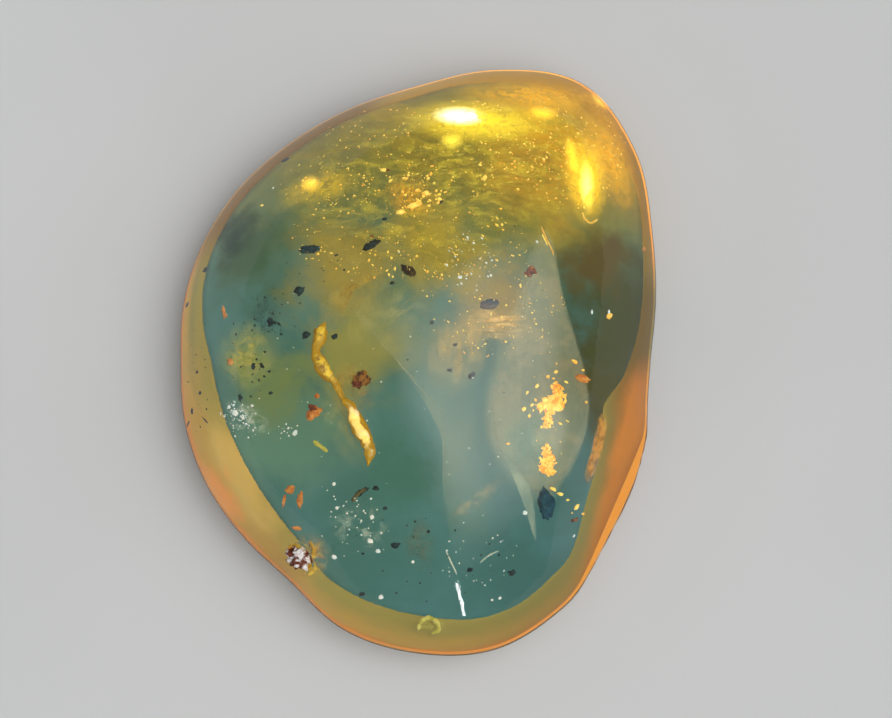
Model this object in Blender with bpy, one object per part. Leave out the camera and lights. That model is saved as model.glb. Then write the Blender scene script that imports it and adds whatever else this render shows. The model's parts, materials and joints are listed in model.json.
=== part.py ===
"""A piece of hand-polished amber with plant matter and grains sealed inside it.

The piece rests on a ground flat. A rounded bevel rises from the flat to the girdle, which is the
widest line round the piece, and a dome closes the top. Hand-polished flats are cut across both.
The amber is parted at the level of its inclusions, and each inclusion sits in a pocket of its own.

Lengths in this file are millimetres until they reach Blender. +Z is up, the origin is under the
middle of the piece at the height of the ground flat, and +Y is the long way of the piece.
"""

import math

import bmesh
import bpy
from mathutils import Vector, noise

MM = 0.001

# Driving dimensions of the amber
PIECE_HEIGHT = 9.2
GIRDLE_HEIGHT = 2.2
PARTING_HEIGHT = 4.0
GAP = 0.3
# Girdle radius every 15 degrees, anticlockwise from +X
GIRDLE_RADII = (
    10.8, 11.5, 12.7, 14.5, 15.6, 14.7, 13.4, 12.7, 12.2, 11.9, 11.6, 11.3,
    11.0, 11.1, 11.2, 11.3, 11.6, 12.7, 13.3, 13.6, 13.1, 12.5, 12.4, 11.0,
)  # fmt: skip
# How far the ground flat's edge lies inside the girdle, every 30 degrees, anticlockwise from +X
BEVEL_WIDTHS = (2.6, 2.0, 1.9, 1.9, 1.9, 2.1, 3.3, 3.7, 3.2, 3.0, 2.7, 4.8)
BEVEL_BULGE = 1.15
# The dome's section: a higher shape is flatter on top, a lower crown is rounder at the girdle
DOME_SHAPE = 2.3
DOME_CROWN = 0.85
APEX = Vector((-0.6, 0.4))
# The outline above the girdle turns into a circle of this radius as it nears the apex
APEX_RADIUS = 12.2
# Hand-polished flats: the way each faces in plan, its tilt from level, and its height over the centre
FLATS = (
    {"faces": -8, "tilt": 21, "height": 9.9},
    {"faces": 206, "tilt": 17, "height": 9.6},
    {"faces": 250, "tilt": 20, "height": 10.05},
    {"faces": 95, "tilt": 22, "height": 10.3},
    {"faces": -24, "tilt": 56, "height": 18.7},
)
# How much the ridges between flats are rounded, as a share of the way out from the core
RIDGE_SOFTNESS = 0.012

OUTLINE_STEPS = 72
DOME_RINGS = 13
BEVEL_RINGS = 5

# Plant matter and grains, each at its centre in plan, all at the parting height
STRIP_CENTRELINE = (
    (-3.7, 1.1), (-3.9, 0.5), (-4.1, -0.2), (-3.8, -1.0), (-3.3, -1.6), (-2.9, -2.3),
    (-2.5, -2.8), (-2.3, -3.4), (-2.0, -3.9), (-1.9, -4.4), (-2.0, -5.1),
)  # fmt: skip
# The strip's full width at each of those points
STRIP_WIDTHS = (0.35, 0.66, 0.4, 0.72, 0.4, 0.3, 0.55, 0.72, 0.62, 0.46, 0.3)
STRIP_FLATNESS = 0.6
STRIP_BLUNTNESS = 2.0
STRIP_RINGS = 30
STRIP_SIDES = 10
GRAINS = {
    "seed": {"at": (2.7, 1.7), "size": (0.8, 0.42, 0.4), "turn": 20, "lumps": 0.05},
    "bark_crumb": {"at": (-2.1, -1.5), "size": (0.75, 0.6, 0.5), "turn": 15, "lumps": 0.3},
    "wood_splinter": {"at": (6.7, -1.5), "size": (0.7, 0.35, 0.3), "turn": -12, "lumps": 0.1},
    "leaf_scrap": {"at": (5.3, -6.8), "size": (0.6, 1.3, 0.35), "turn": 14, "lumps": 0.15},
    "grain_north": {"at": (-2.0, 3.8), "size": (0.8, 0.34, 0.34), "turn": 32, "lumps": 0.2},
    "grain_west": {"at": (-4.3, 3.8), "size": (0.75, 0.34, 0.34), "turn": 2, "lumps": 0.15},
    "grain_middle": {"at": (-0.4, 2.8), "size": (0.62, 0.3, 0.3), "turn": -18, "lumps": 0.2},
    "flake_upper": {"at": (5.4, -2.7), "size": (1.4, 2.0, 0.7), "turn": -12, "lumps": 0.35},
    "flake_lower": {"at": (5.3, -4.9), "size": (1.1, 1.4, 0.7), "turn": 8, "lumps": 0.35},
}
GRAIN_SEGMENTS = 14
GRAIN_RINGS = 10
LUMP_SPACING = 1.7
# The open pit in the dome near the girdle and the crust in it
PIT_AT = (-5.3, -9.5)
PIT_HEIGHT = 4.1
PIT = {"size": (1.4, 1.4, 1.4), "lumps": 0.2}
CRUST = {"size": (0.7, 0.7, 0.7), "lumps": 0.3}
CRUST_SINK = 0.12
# How many times the piece's own size the parting cutters reach
CUTTER_MARGIN = 2

# How rough and how metallic each finish is, where it isn't matt
MATT = (0.6, 0.0)
SHEEN = {"gold": (0.35, 0.6), "amber": (0.08, 0.0)}
SMOOTH_ANGLE = 40
COLOURS = {
    "amber": (0.85, 0.55, 0.12),
    "bark": (0.75, 0.52, 0.12),
    "crumb": (0.22, 0.09, 0.03),
    "seed": (0.02, 0.05, 0.09),
    "gold": (0.95, 0.5, 0.1),
    "wood": (0.75, 0.28, 0.06),
    "leaf": (0.01, 0.05, 0.07),
    "grain": (0.03, 0.04, 0.03),
    "crust": (0.45, 0.2, 0.12),
}
PLANT_MATERIALS = {
    "seed": "seed", "bark_crumb": "crumb", "wood_splinter": "wood", "leaf_scrap": "leaf",
    "grain_north": "grain", "grain_west": "grain", "grain_middle": "grain",
    "flake_upper": "gold", "flake_lower": "gold",
}  # fmt: skip


def clear_scene():
    for old in list(bpy.data.objects):
        bpy.data.objects.remove(old)


def make_collection(name):
    collection = bpy.data.collections.new(name)
    bpy.context.scene.collection.children.link(collection)
    return collection


def make_material(name):
    roughness, metallic = SHEEN.get(name, MATT)
    material = bpy.data.materials.new(name)
    material.use_nodes = True
    shader = material.node_tree.nodes["Principled BSDF"]
    shader.inputs["Base Color"].default_value = (*COLOURS[name], 1.0)
    shader.inputs["Roughness"].default_value = roughness
    shader.inputs["Metallic"].default_value = metallic
    return material


def read_round(values, angle):
    """A smooth closed curve through values that stand at equal angles, read at an angle."""
    count = len(values)
    place = (angle / math.tau) % 1.0 * count
    here = int(place)
    share = place - here
    a, b, c, d = (values[(here + k) % count] for k in (-1, 0, 1, 2))
    return 0.5 * (
        2 * b
        + (c - a) * share
        + (2 * a - 5 * b + 4 * c - d) * share**2
        + (3 * b - a - 3 * c + d) * share**3
    )


def girdle_point(angle):
    """A point of the girdle in plan, about the piece's core."""
    radius = read_round(GIRDLE_RADII, angle)
    return Vector((radius * math.cos(angle), radius * math.sin(angle)))


def outline_angles():
    return [math.tau * k / OUTLINE_STEPS for k in range(OUTLINE_STEPS)]


def bevel_point(share, angle):
    """A point of the bevel: share 0 is the ground flat's edge and 1 the girdle."""
    drop = math.cos(share * math.pi / 2)
    outward = (1 - drop**BEVEL_BULGE) ** (1 / BEVEL_BULGE)
    girdle = girdle_point(angle)
    point = girdle - girdle.normalized() * read_round(BEVEL_WIDTHS, angle) * (1 - outward)
    return Vector((point.x, point.y, GIRDLE_HEIGHT * (1 - drop)))


def dome_point(share, angle):
    """A point of the dome: share 0 is the girdle and 1 the apex."""
    reach = math.cos(share * math.pi / 2)
    rise = (1 - reach**DOME_SHAPE) ** DOME_CROWN
    circle = Vector((math.cos(angle), math.sin(angle))) * APEX_RADIUS
    outer = girdle_point(angle).lerp(circle, (1 - reach) ** 2)
    point = outer * reach + APEX * (1 - reach)
    return Vector((point.x, point.y, GIRDLE_HEIGHT + (PIECE_HEIGHT - GIRDLE_HEIGHT) * rise))


def flat_normal(flat):
    faces, tilt = math.radians(flat["faces"]), math.radians(flat["tilt"])
    level = math.sin(tilt)
    return Vector((level * math.cos(faces), level * math.sin(faces), math.cos(tilt)))


def cut_by_flats(point):
    """Draws a point towards the core until it lies inside every flat, with the ridges rounded."""
    core = Vector((0, 0, GIRDLE_HEIGHT))
    way = point - core
    shares = [1.0]
    for flat in FLATS:
        normal = flat_normal(flat)
        reach = way.dot(normal)
        if reach > 0:
            shares.append((flat["height"] - GIRDLE_HEIGHT) * normal.z / reach)
    least = min(shares)
    total = sum(math.exp((least - share) / RIDGE_SOFTNESS) for share in shares)
    return core + way * (least - RIDGE_SOFTNESS * math.log(total))


def pebble_rings():
    """The rings of the amber from the ground flat's edge up, with the middle of their box at the origin."""
    angles = outline_angles()
    rings = [[bevel_point(0, angle) for angle in angles]]
    for k in range(1, BEVEL_RINGS):
        rings.append([cut_by_flats(bevel_point(k / BEVEL_RINGS, angle)) for angle in angles])
    for k in range(DOME_RINGS):
        rings.append([cut_by_flats(dome_point(k / DOME_RINGS, angle)) for angle in angles])
    xs = [point.x for ring in rings for point in ring]
    ys = [point.y for ring in rings for point in ring]
    middle = Vector(((min(xs) + max(xs)) / 2, (min(ys) + max(ys)) / 2, 0))
    return [[point - middle for point in ring] for ring in rings]


def make_pebble(name):
    """The whole piece of amber as one closed mesh: rings bridged from the flat to the apex."""
    mesh = bpy.data.meshes.new(name)
    shape = bmesh.new()
    loops = []
    for ring in pebble_rings():
        made = bmesh.ops.create_circle(shape, segments=OUTLINE_STEPS, radius=1.0, cap_ends=False)
        verts = sorted(made["verts"], key=lambda v: math.atan2(v.co.y, v.co.x) % math.tau)
        for vert, point in zip(verts, ring):
            vert.co = point * MM
        loops.append(list({edge for vert in verts for edge in vert.link_edges}))
    for lower, upper in zip(loops, loops[1:]):
        bmesh.ops.bridge_loops(shape, edges=lower + upper)
    bmesh.ops.contextual_create(shape, geom=loops[0])
    bmesh.ops.contextual_create(shape, geom=loops[-1])
    bmesh.ops.recalc_face_normals(shape, faces=shape.faces)
    shape.to_mesh(mesh)
    shape.free()
    return bpy.data.objects.new(name, mesh)


def make_box(name, low, high):
    """A cutter box between two heights, well past the piece on every side."""
    mesh = bpy.data.meshes.new(name)
    shape = bmesh.new()
    bmesh.ops.create_cube(shape, size=1.0)
    width = CUTTER_MARGIN * 2 * max(GIRDLE_RADII)
    bmesh.ops.scale(shape, vec=Vector((width, width, high - low)) * MM, verts=shape.verts)
    bmesh.ops.translate(shape, vec=Vector((0, 0, (low + high) / 2)) * MM, verts=shape.verts)
    shape.to_mesh(mesh)
    shape.free()
    return bpy.data.objects.new(name, mesh)


def make_grain(name, facts, at, height, seed, grow=0.0):
    """A lumpy oval of a given size, grown by grow all round."""
    shape = bmesh.new()
    bmesh.ops.create_uvsphere(
        shape, u_segments=GRAIN_SEGMENTS, v_segments=GRAIN_RINGS, radius=1.0
    )
    for vert in shape.verts:
        way = vert.co.normalized()
        swell = 1 + facts["lumps"] * noise.noise(way * LUMP_SPACING + Vector((seed, 0, 0)))
        vert.co = Vector((way[k] * (facts["size"][k] / 2 * swell + grow) for k in range(3))) * MM
    mesh = bpy.data.meshes.new(name)
    shape.to_mesh(mesh)
    shape.free()
    obj = bpy.data.objects.new(name, mesh)
    obj.location = Vector((*at, height)) * MM
    obj.rotation_euler = (0, 0, math.radians(facts.get("turn", 0)))
    return obj


def read_along(values, share):
    """A value read between the ends of a list, with share 0 the first and 1 the last."""
    last = len(values) - 1
    here = min(int(share * last), last - 1)
    return values[here] + (values[here + 1] - values[here]) * (share * last - here)


def make_strip(name, grow=0.0):
    """The curled strip: an oval section swept along the centreline, thin at both ends."""
    route = [Vector(point) for point in STRIP_CENTRELINE]
    step = 1 / STRIP_RINGS
    shape = bmesh.new()
    bmesh.ops.create_uvsphere(shape, u_segments=STRIP_SIDES, v_segments=STRIP_RINGS, radius=1.0)
    for vert in shape.verts:
        share = math.asin(max(-1.0, min(1.0, vert.co.z))) / math.pi + 0.5
        ahead = read_along(route, min(1.0, share + step))
        behind = read_along(route, max(0.0, share - step))
        way = (ahead - behind).normalized()
        across = Vector((-way.y, way.x))
        around = Vector((vert.co.x, vert.co.y))
        if around.length:
            around *= min(1.0, STRIP_BLUNTNESS * around.length) / around.length
        half_width = read_along(STRIP_WIDTHS, share) / 2
        flank = around.x * (half_width + grow)
        rise = around.y * (half_width * STRIP_FLATNESS + grow)
        point = read_along(route, share) + across * flank
        if share in (0.0, 1.0):
            point += way * grow * (2 * share - 1)
        vert.co = Vector((point.x, point.y, PARTING_HEIGHT + rise)) * MM
    bmesh.ops.recalc_face_normals(shape, faces=shape.faces)
    mesh = bpy.data.meshes.new(name)
    shape.to_mesh(mesh)
    shape.free()
    return bpy.data.objects.new(name, mesh)


def add_boolean(obj, operation, other):
    modifier = obj.modifiers.new(other.name, "BOOLEAN")
    modifier.operation = operation
    modifier.object = other


def add_cutter(obj, collection):
    obj.hide_render = True
    obj.display_type = "WIRE"
    collection.objects.link(obj)
    return obj


def finish_piece(obj, material, collection):
    obj.data.materials.append(material)
    collection.objects.link(obj)
    obj.data.shade_smooth()
    obj.data.set_sharp_from_angle(angle=math.radians(SMOOTH_ANGLE))


def build():
    clear_scene()
    parts = make_collection("polished_amber")
    cutters = make_collection("cutters")

    materials = {name: make_material(name) for name in COLOURS}

    pockets = []
    for seed, (name, facts) in enumerate(GRAINS.items()):
        grain = make_grain(name, facts, facts["at"], PARTING_HEIGHT, seed)
        finish_piece(grain, materials[PLANT_MATERIALS[name]], parts)
        pockets.append(
            make_grain(name + "_pocket", facts, facts["at"], PARTING_HEIGHT, seed, grow=GAP)
        )
    finish_piece(make_strip("bark_strip"), materials["bark"], parts)
    pockets.append(make_strip("bark_strip_pocket", grow=GAP))

    pit_seed = len(GRAINS)
    pit = make_grain("pit", PIT, PIT_AT, PIT_HEIGHT, pit_seed)
    crust = make_grain("pit_crust", CRUST, PIT_AT, PIT_HEIGHT - CRUST_SINK, pit_seed + 1)
    finish_piece(crust, materials["crust"], parts)

    far = PIECE_HEIGHT * CUTTER_MARGIN
    above = make_box("above_parting", PARTING_HEIGHT + GAP / 2, far)
    below = make_box("below_parting", -far, PARTING_HEIGHT - GAP / 2)
    for cutter in (*pockets, pit, above, below):
        add_cutter(cutter, cutters)

    for name, side in (("amber_upper", above), ("amber_lower", below)):
        half = make_pebble(name)
        finish_piece(half, materials["amber"], parts)
        add_boolean(half, "INTERSECT", side)
        for pocket in pockets:
            add_boolean(half, "DIFFERENCE", pocket)
        add_boolean(half, "DIFFERENCE", pit)


build()
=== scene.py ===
import json
import math
import random

import bmesh
import bpy
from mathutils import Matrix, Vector, noise
from mathutils.bvhtree import BVHTree
from mathutils.interpolate import poly_3d_calc

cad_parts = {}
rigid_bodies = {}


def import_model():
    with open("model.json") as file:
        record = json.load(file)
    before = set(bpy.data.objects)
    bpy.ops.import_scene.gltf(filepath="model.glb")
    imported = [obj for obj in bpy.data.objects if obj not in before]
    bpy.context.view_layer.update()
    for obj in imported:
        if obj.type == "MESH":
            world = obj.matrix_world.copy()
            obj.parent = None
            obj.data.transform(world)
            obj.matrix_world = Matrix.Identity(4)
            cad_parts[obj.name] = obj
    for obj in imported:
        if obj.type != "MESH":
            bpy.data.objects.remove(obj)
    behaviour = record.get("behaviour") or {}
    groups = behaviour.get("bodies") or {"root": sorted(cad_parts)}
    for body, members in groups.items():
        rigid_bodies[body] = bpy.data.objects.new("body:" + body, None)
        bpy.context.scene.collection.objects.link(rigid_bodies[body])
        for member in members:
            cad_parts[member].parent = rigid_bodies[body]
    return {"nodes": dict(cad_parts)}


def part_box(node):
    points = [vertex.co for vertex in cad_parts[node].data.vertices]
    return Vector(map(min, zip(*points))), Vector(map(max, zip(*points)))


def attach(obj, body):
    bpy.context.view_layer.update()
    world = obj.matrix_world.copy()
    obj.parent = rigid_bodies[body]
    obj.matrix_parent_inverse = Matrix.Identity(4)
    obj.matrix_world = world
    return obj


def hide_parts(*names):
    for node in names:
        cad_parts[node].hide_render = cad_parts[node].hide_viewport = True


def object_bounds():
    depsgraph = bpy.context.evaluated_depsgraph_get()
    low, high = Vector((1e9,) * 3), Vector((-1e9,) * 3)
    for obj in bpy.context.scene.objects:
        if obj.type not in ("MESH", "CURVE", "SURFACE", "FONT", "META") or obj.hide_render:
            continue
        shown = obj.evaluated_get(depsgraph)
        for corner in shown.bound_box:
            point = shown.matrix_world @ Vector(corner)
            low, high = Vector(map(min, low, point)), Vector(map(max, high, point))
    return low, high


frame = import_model()
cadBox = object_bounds()
mm = 0.001
print("Frame loaded:", len(frame["nodes"]), "nodes")


# The clear body: the same driving values as the solids
body = {
    "height": 9.2,
    "girdleHeight": 2.2,
    "girdleRadii": (
        10.8, 11.5, 12.7, 14.5, 15.6, 14.7, 13.4, 12.7, 12.2, 11.9, 11.6, 11.3,
        11.0, 11.1, 11.2, 11.3, 11.6, 12.7, 13.3, 13.6, 13.1, 12.5, 12.4, 11.0,
    ),
    "bevelWidths": (2.6, 2.0, 1.9, 1.9, 1.9, 2.1, 3.3, 3.7, 3.2, 3.0, 2.7, 4.8),
    "bevelBulge": 1.15,
    "domeShape": 2.3,
    "domeCrown": 0.85,
    "apex": (-0.6, 0.4),
    "apexRadius": 12.2,
    "flats": (
        {"faces": -8, "tilt": 21, "height": 9.9},
        {"faces": 206, "tilt": 17, "height": 9.6},
        {"faces": 250, "tilt": 20, "height": 10.05},
        {"faces": 95, "tilt": 22, "height": 10.3},
        {"faces": -24, "tilt": 56, "height": 18.7},
    ),
    "ridgeSoftness": 0.012,
    "outlineSteps": 240,
    "domeRings": 56,
    "bevelRings": 22,
    "pit": {"radius": 0.7, "lift": 0.12, "lumps": 0.22, "grit": 0.06, "crispEdge": 35},
    "margin": 0.3,
    "ior": 1.54,
    "roughness": 0.015,
    "skinWaves": 0.013,
    "skinTint": (1.0, 0.985, 0.94),
    "absorbColour": (0.96, 0.8, 0.4),
    "absorbDensity": 90.0,
    "shadowTint": (1.0, 0.94, 0.82),
}


def curveBetween(a, b, c, d, part):  # a smooth curve from b to c, led by the points before and after
    return 0.5 * (
        2 * b + (c - a) * part + (2 * a - 5 * b + 4 * c - d) * part**2 + (3 * b - a - 3 * c + d) * part**3
    )


def readRound(values, share):  # a share of the way round a closed row of numbers or points
    place = share % 1.0 * len(values)
    here = int(place)
    return curveBetween(*(values[(here + k) % len(values)] for k in (-1, 0, 1, 2)), place - here)


def smoothRoute(points, share):  # a share of the way along an open row of points
    last = len(points) - 1
    here = min(int(share * last), last - 1)
    corners = (Vector(points[min(last, max(0, here + k))]) for k in (-1, 0, 1, 2))
    return curveBetween(*corners, share * last - here)


def alongRoute(points, share, step):  # the spot there, and the way in which the route runs on
    ahead = smoothRoute(points, min(1.0, share + step))
    return smoothRoute(points, share), ahead - smoothRoute(points, max(0.0, share - step))


def girdlePoint(angle):
    radius = readRound(body["girdleRadii"], angle / math.tau)
    return Vector((radius * math.cos(angle), radius * math.sin(angle)))


def bevelPoint(share, angle):  # share 0 is the ground flat's edge, 1 the girdle
    drop = math.cos(share * math.pi / 2)
    outward = (1 - drop ** body["bevelBulge"]) ** (1 / body["bevelBulge"])
    girdle = girdlePoint(angle)
    inset = readRound(body["bevelWidths"], angle / math.tau) * (1 - outward)
    point = girdle - girdle.normalized() * inset
    return Vector((point.x, point.y, body["girdleHeight"] * (1 - drop)))


def domePoint(share, angle):  # share 0 is the girdle, 1 the apex
    reach = math.cos(share * math.pi / 2)
    rise = (1 - reach ** body["domeShape"]) ** body["domeCrown"]
    circle = Vector((math.cos(angle), math.sin(angle))) * body["apexRadius"]
    outer = girdlePoint(angle).lerp(circle, (1 - reach) ** 2)
    point = outer * reach + Vector(body["apex"]) * (1 - reach)
    low = body["girdleHeight"]
    return Vector((point.x, point.y, low + (body["height"] - low) * rise))


def cutByFlats(point):  # draws a point in towards the core until it is inside every flat
    low = body["girdleHeight"]
    core = Vector((0, 0, low))
    way = point - core
    shares = [1.0]
    for flat in body["flats"]:
        faces, tilt = math.radians(flat["faces"]), math.radians(flat["tilt"])
        side = math.sin(tilt)
        normal = Vector((side * math.cos(faces), side * math.sin(faces), math.cos(tilt)))
        reach = way.dot(normal)
        if reach > 0:
            shares.append((flat["height"] - low) * normal.z / reach)
    least = min(shares)
    soft = body["ridgeSoftness"]
    total = sum(math.exp((least - share) / soft) for share in shares)
    return core + way * (least - soft * math.log(total))


def quadStrip(low, high, steps):  # faces between two rings, by the number of each ring's first point
    return [(low + k, low + (k + 1) % steps, high + (k + 1) % steps, high + k) for k in range(steps)]


def loftRings(rings):  # one closed mesh from rings of equal count, with fan ends
    steps = len(rings[0])
    points = [point for ring in rings for point in ring]
    faces = []
    for row in range(len(rings) - 1):
        faces += quadStrip(row * steps, (row + 1) * steps, steps)
    for ring, start, turn in ((rings[0], 0, -1), (rings[-1], (len(rings) - 1) * steps, 1)):
        points.append(sum(ring, Vector((0, 0, 0))) / steps)
        for k in range(steps):
            pair = (start + k, start + (k + 1) % steps)[::turn]
            faces.append((*pair, len(points) - 1))
    return points, faces


def addObject(name, data):
    obj = bpy.data.objects.new(name, data)
    bpy.context.scene.collection.objects.link(obj)
    return obj


def meshObject(name, points, faces, smooth=True):
    mesh = bpy.data.meshes.new(name)
    mesh.from_pydata([tuple(point * mm) for point in points], [], faces)
    mesh.validate()
    if smooth:
        mesh.shade_smooth()
    return addObject(name, mesh)


def bodyRings():
    steps = body["outlineSteps"]
    angles = [math.tau * k / steps for k in range(steps)]
    rings = [[bevelPoint(0, angle) for angle in angles]]
    for k in range(1, body["bevelRings"]):
        rings.append([cutByFlats(bevelPoint(k / body["bevelRings"], a)) for a in angles])
    for k in range(body["domeRings"]):
        rings.append([cutByFlats(domePoint(k / body["domeRings"], a)) for a in angles])
    xs = [point.x for ring in rings for point in ring]
    ys = [point.y for ring in rings for point in ring]
    cadMiddle = (cadBox[0] + cadBox[1]) / 2 / mm
    shift = Vector(((min(xs) + max(xs)) / 2 - cadMiddle.x, (min(ys) + max(ys)) / 2 - cadMiddle.y, 0))
    return [[point - shift for point in ring] for ring in rings], shift


amberRings, outlineShift = bodyRings()
amberPoints, amberFaces = loftRings(amberRings)
amber = meshObject("amber_clear", amberPoints, amberFaces)
amberNormals = [vert.normal.copy() for vert in amber.data.vertices]
amberTree = BVHTree.FromPolygons(amberPoints, amberFaces)
print("Clear body:", len(amberFaces), "faces")


# The camera of the photograph, 892 by 718 pixels
camera = {
    "width": 892,
    "height": 718,
    "lens": 80.0,
    "sensor": 36.0,
    "elevation": 80.0,
    "distance": 91.6,
    "looksAt": (1.32, 0.16, 2.5),
}


def placeCamera():
    tilt = math.radians(camera["elevation"])
    back = Vector((0, -math.cos(tilt), math.sin(tilt)))
    aim = Vector(camera["looksAt"]) - outlineShift
    place = aim + back * camera["distance"]
    data = bpy.data.cameras.new("camera")
    data.lens = camera["lens"]
    data.sensor_width = camera["sensor"]
    data.clip_start = 0.005
    data.clip_end = 5.0
    obj = addObject("camera", data)
    obj.location = place * mm
    obj.rotation_euler = back.to_track_quat("Z", "Y").to_euler()
    bpy.context.scene.camera = obj
    return place, back


cameraPlace, cameraBack = placeCamera()


def sightLine(px, py):
    focal = camera["width"] * camera["lens"] / camera["sensor"]
    right = Vector((1, 0, 0))
    up = cameraBack.cross(right)
    across = (px - camera["width"] / 2) / focal
    down = (py - camera["height"] / 2) / focal
    return (right * across - up * down - cameraBack).normalized()


# The point that the camera sees at a pixel through the bent light, at a height or a depth under the
# skin, or None where the pixel misses the body
def throughAmber(px, py, height=None, depth=0.0):
    way = sightLine(px, py)
    hit, _, face, _ = amberTree.ray_cast(cameraPlace, way)
    if hit is None:
        return None
    corners = amberFaces[face]
    weights = poly_3d_calc([amberPoints[corner] for corner in corners], hit)
    normal = Vector((0, 0, 0))
    for corner, weight in zip(corners, weights):
        normal += amberNormals[corner] * weight
    normal.normalize()
    if normal.dot(way) > 0:
        normal = -normal
    ratio = 1 / body["ior"]
    facing = -way.dot(normal)
    bent = way * ratio + normal * (ratio * facing - math.sqrt(1 - ratio**2 * (1 - facing**2)))
    bent.normalize()
    _, _, _, far = amberTree.ray_cast(hit + bent * 0.01, bent)
    if far is None:
        return None
    reach = depth if height is None else (height - hit.z) / bent.z
    margin = min(body["margin"], far / 2)
    return hit + bent * max(margin, min(reach, far - margin))


# Small helpers for node materials
def newMaterial(name):
    material = bpy.data.materials.new(name)
    material.use_nodes = True
    tree = material.node_tree
    tree.nodes.clear()
    output = tree.nodes.new("ShaderNodeOutputMaterial")
    return material, tree, output


def feed(tree, socket, value):  # a link from a socket, or else a plain value
    if isinstance(value, bpy.types.NodeSocket):
        tree.links.new(value, socket)
    else:
        socket.default_value = value


def put(tree, kind, inputs=None, **settings):
    node = tree.nodes.new(kind)
    for key, value in settings.items():
        setattr(node, key, value)
    for key, value in (inputs or {}).items():
        feed(tree, node.inputs[key], value)
    return node


def mixColours(tree, factor, first, second):
    node = put(tree, "ShaderNodeMix", data_type="RGBA")
    for index, value in ((0, factor), (6, first), (7, second)):
        feed(tree, node.inputs[index], (*value, 1.0) if isinstance(value, tuple) else value)
    return node.outputs[2]


def sums(tree, operation, *values):
    return put(tree, "ShaderNodeMath", dict(enumerate(values)), operation=operation).outputs[0]


def times(tree, first, second):
    return sums(tree, "MULTIPLY", first, second)


def ramp(tree, value, low, high):
    inputs = {"Value": value, "From Min": low, "From Max": high}
    return put(tree, "ShaderNodeMapRange", inputs, interpolation_type="SMOOTHSTEP").outputs["Result"]


def partsOf(tree, place):  # x, y and z of a place
    return put(tree, "ShaderNodeSeparateXYZ", {0: place}).outputs


def placeInMillimetres(tree):
    inputs = {0: put(tree, "ShaderNodeTexCoord").outputs["Object"], "Scale": 1 / mm}
    return put(tree, "ShaderNodeVectorMath", inputs, operation="SCALE").outputs["Vector"]


def noiseAt(tree, place, scale, detail=3.0, roughness=0.5, stretch=None, turn=0.0, distortion=0.0):
    if stretch:
        turned = {"Vector": place, "Scale": stretch, "Rotation": (0, 0, turn)}
        place = put(tree, "ShaderNodeMapping", turned).outputs["Vector"]
    inputs = {"Vector": place, "Scale": scale, "Detail": detail, "Roughness": roughness}
    return put(tree, "ShaderNodeTexNoise", {**inputs, "Distortion": distortion}).outputs["Fac"]


def nearSpot(tree, place, spot, inner, outer, wander=None):  # 1 by a spot in plan, 0 far off
    flatPlace = put(tree, "ShaderNodeVectorMath", {0: place, 1: (1, 1, 0)}, operation="MULTIPLY")
    gap = put(tree, "ShaderNodeVectorMath", {0: flatPlace.outputs[0], 1: (*spot, 0)}, operation="DISTANCE")
    reach = gap.outputs["Value"]
    if wander:
        reach = sums(tree, "MULTIPLY_ADD", sums(tree, "SUBTRACT", wander, 0.5), 4.0, reach)
    return ramp(tree, reach, outer, inner)


def amberMaterial():
    material, tree, output = newMaterial("clear_amber")
    waves = noiseAt(tree, placeInMillimetres(tree), 1.1, 4.0)
    relief = {"Height": waves, "Strength": body["skinWaves"], "Distance": mm}
    inputs = {
        "Base Color": (*body["skinTint"], 1.0), "Roughness": body["roughness"], "IOR": body["ior"],
        "Transmission Weight": 1.0, "Normal": put(tree, "ShaderNodeBump", relief).outputs["Normal"],
    }
    skin = put(tree, "ShaderNodeBsdfPrincipled", inputs)
    clear = put(tree, "ShaderNodeBsdfTransparent", {"Color": (*body["shadowTint"], 1.0)})
    lightPath = put(tree, "ShaderNodeLightPath")
    shares = {0: lightPath.outputs["Is Shadow Ray"], 1: skin.outputs[0], 2: clear.outputs[0]}
    both = put(tree, "ShaderNodeMixShader", shares)
    tree.links.new(both.outputs[0], output.inputs["Surface"])
    inputs = {"Color": (*body["absorbColour"], 1.0), "Density": body["absorbDensity"]}
    absorb = put(tree, "ShaderNodeVolumeAbsorption", inputs)
    tree.links.new(absorb.outputs[0], output.inputs["Volume"])
    return material


def ballTemplate(subdivisions):
    shape = bmesh.new()
    bmesh.ops.create_icosphere(shape, subdivisions=subdivisions, radius=1.0)
    verts = [vert.co.normalized() for vert in shape.verts]
    faces = [tuple(vert.index for vert in face.verts) for face in shape.faces]
    shape.free()
    return verts, faces


balls = {count: ballTemplate(count) for count in (1, 2, 3, 4)}


def nodeMiddle(node):
    low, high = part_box(node)
    return (low + high) / 2 / mm


def cutPit():  # the open pit in the skin, near the lower left of the picture
    pit = body["pit"]
    centre = nodeMiddle("pit_crust") + Vector((0, 0, pit["lift"]))
    ways, faces = balls[4]
    points = []
    for way in ways:
        lumps = pit["lumps"] * noise.noise(way * 1.9 + Vector((7, 0, 0)))
        points.append(centre + way * pit["radius"] * (1 + lumps + pit["grit"] * noise.noise(way * 6)))
    cutter = meshObject("pit_cutter", points, faces, smooth=False)
    cut = amber.modifiers.new("pit", "BOOLEAN")
    cut.operation = "DIFFERENCE"
    cut.object = cutter
    view = bpy.context.evaluated_depsgraph_get()
    amber.data = bpy.data.meshes.new_from_object(amber.evaluated_get(view))
    amber.modifiers.clear()
    bpy.data.objects.remove(cutter)
    amber.data.shade_smooth()
    amber.data.set_sharp_from_angle(angle=math.radians(pit["crispEdge"]))


cutPit()
amber.data.materials.clear()
amber.data.materials.append(amberMaterial())
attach(amber, "root")
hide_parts("amber_upper", "amber_lower")
print("Clear body cut and glazed")


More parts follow.
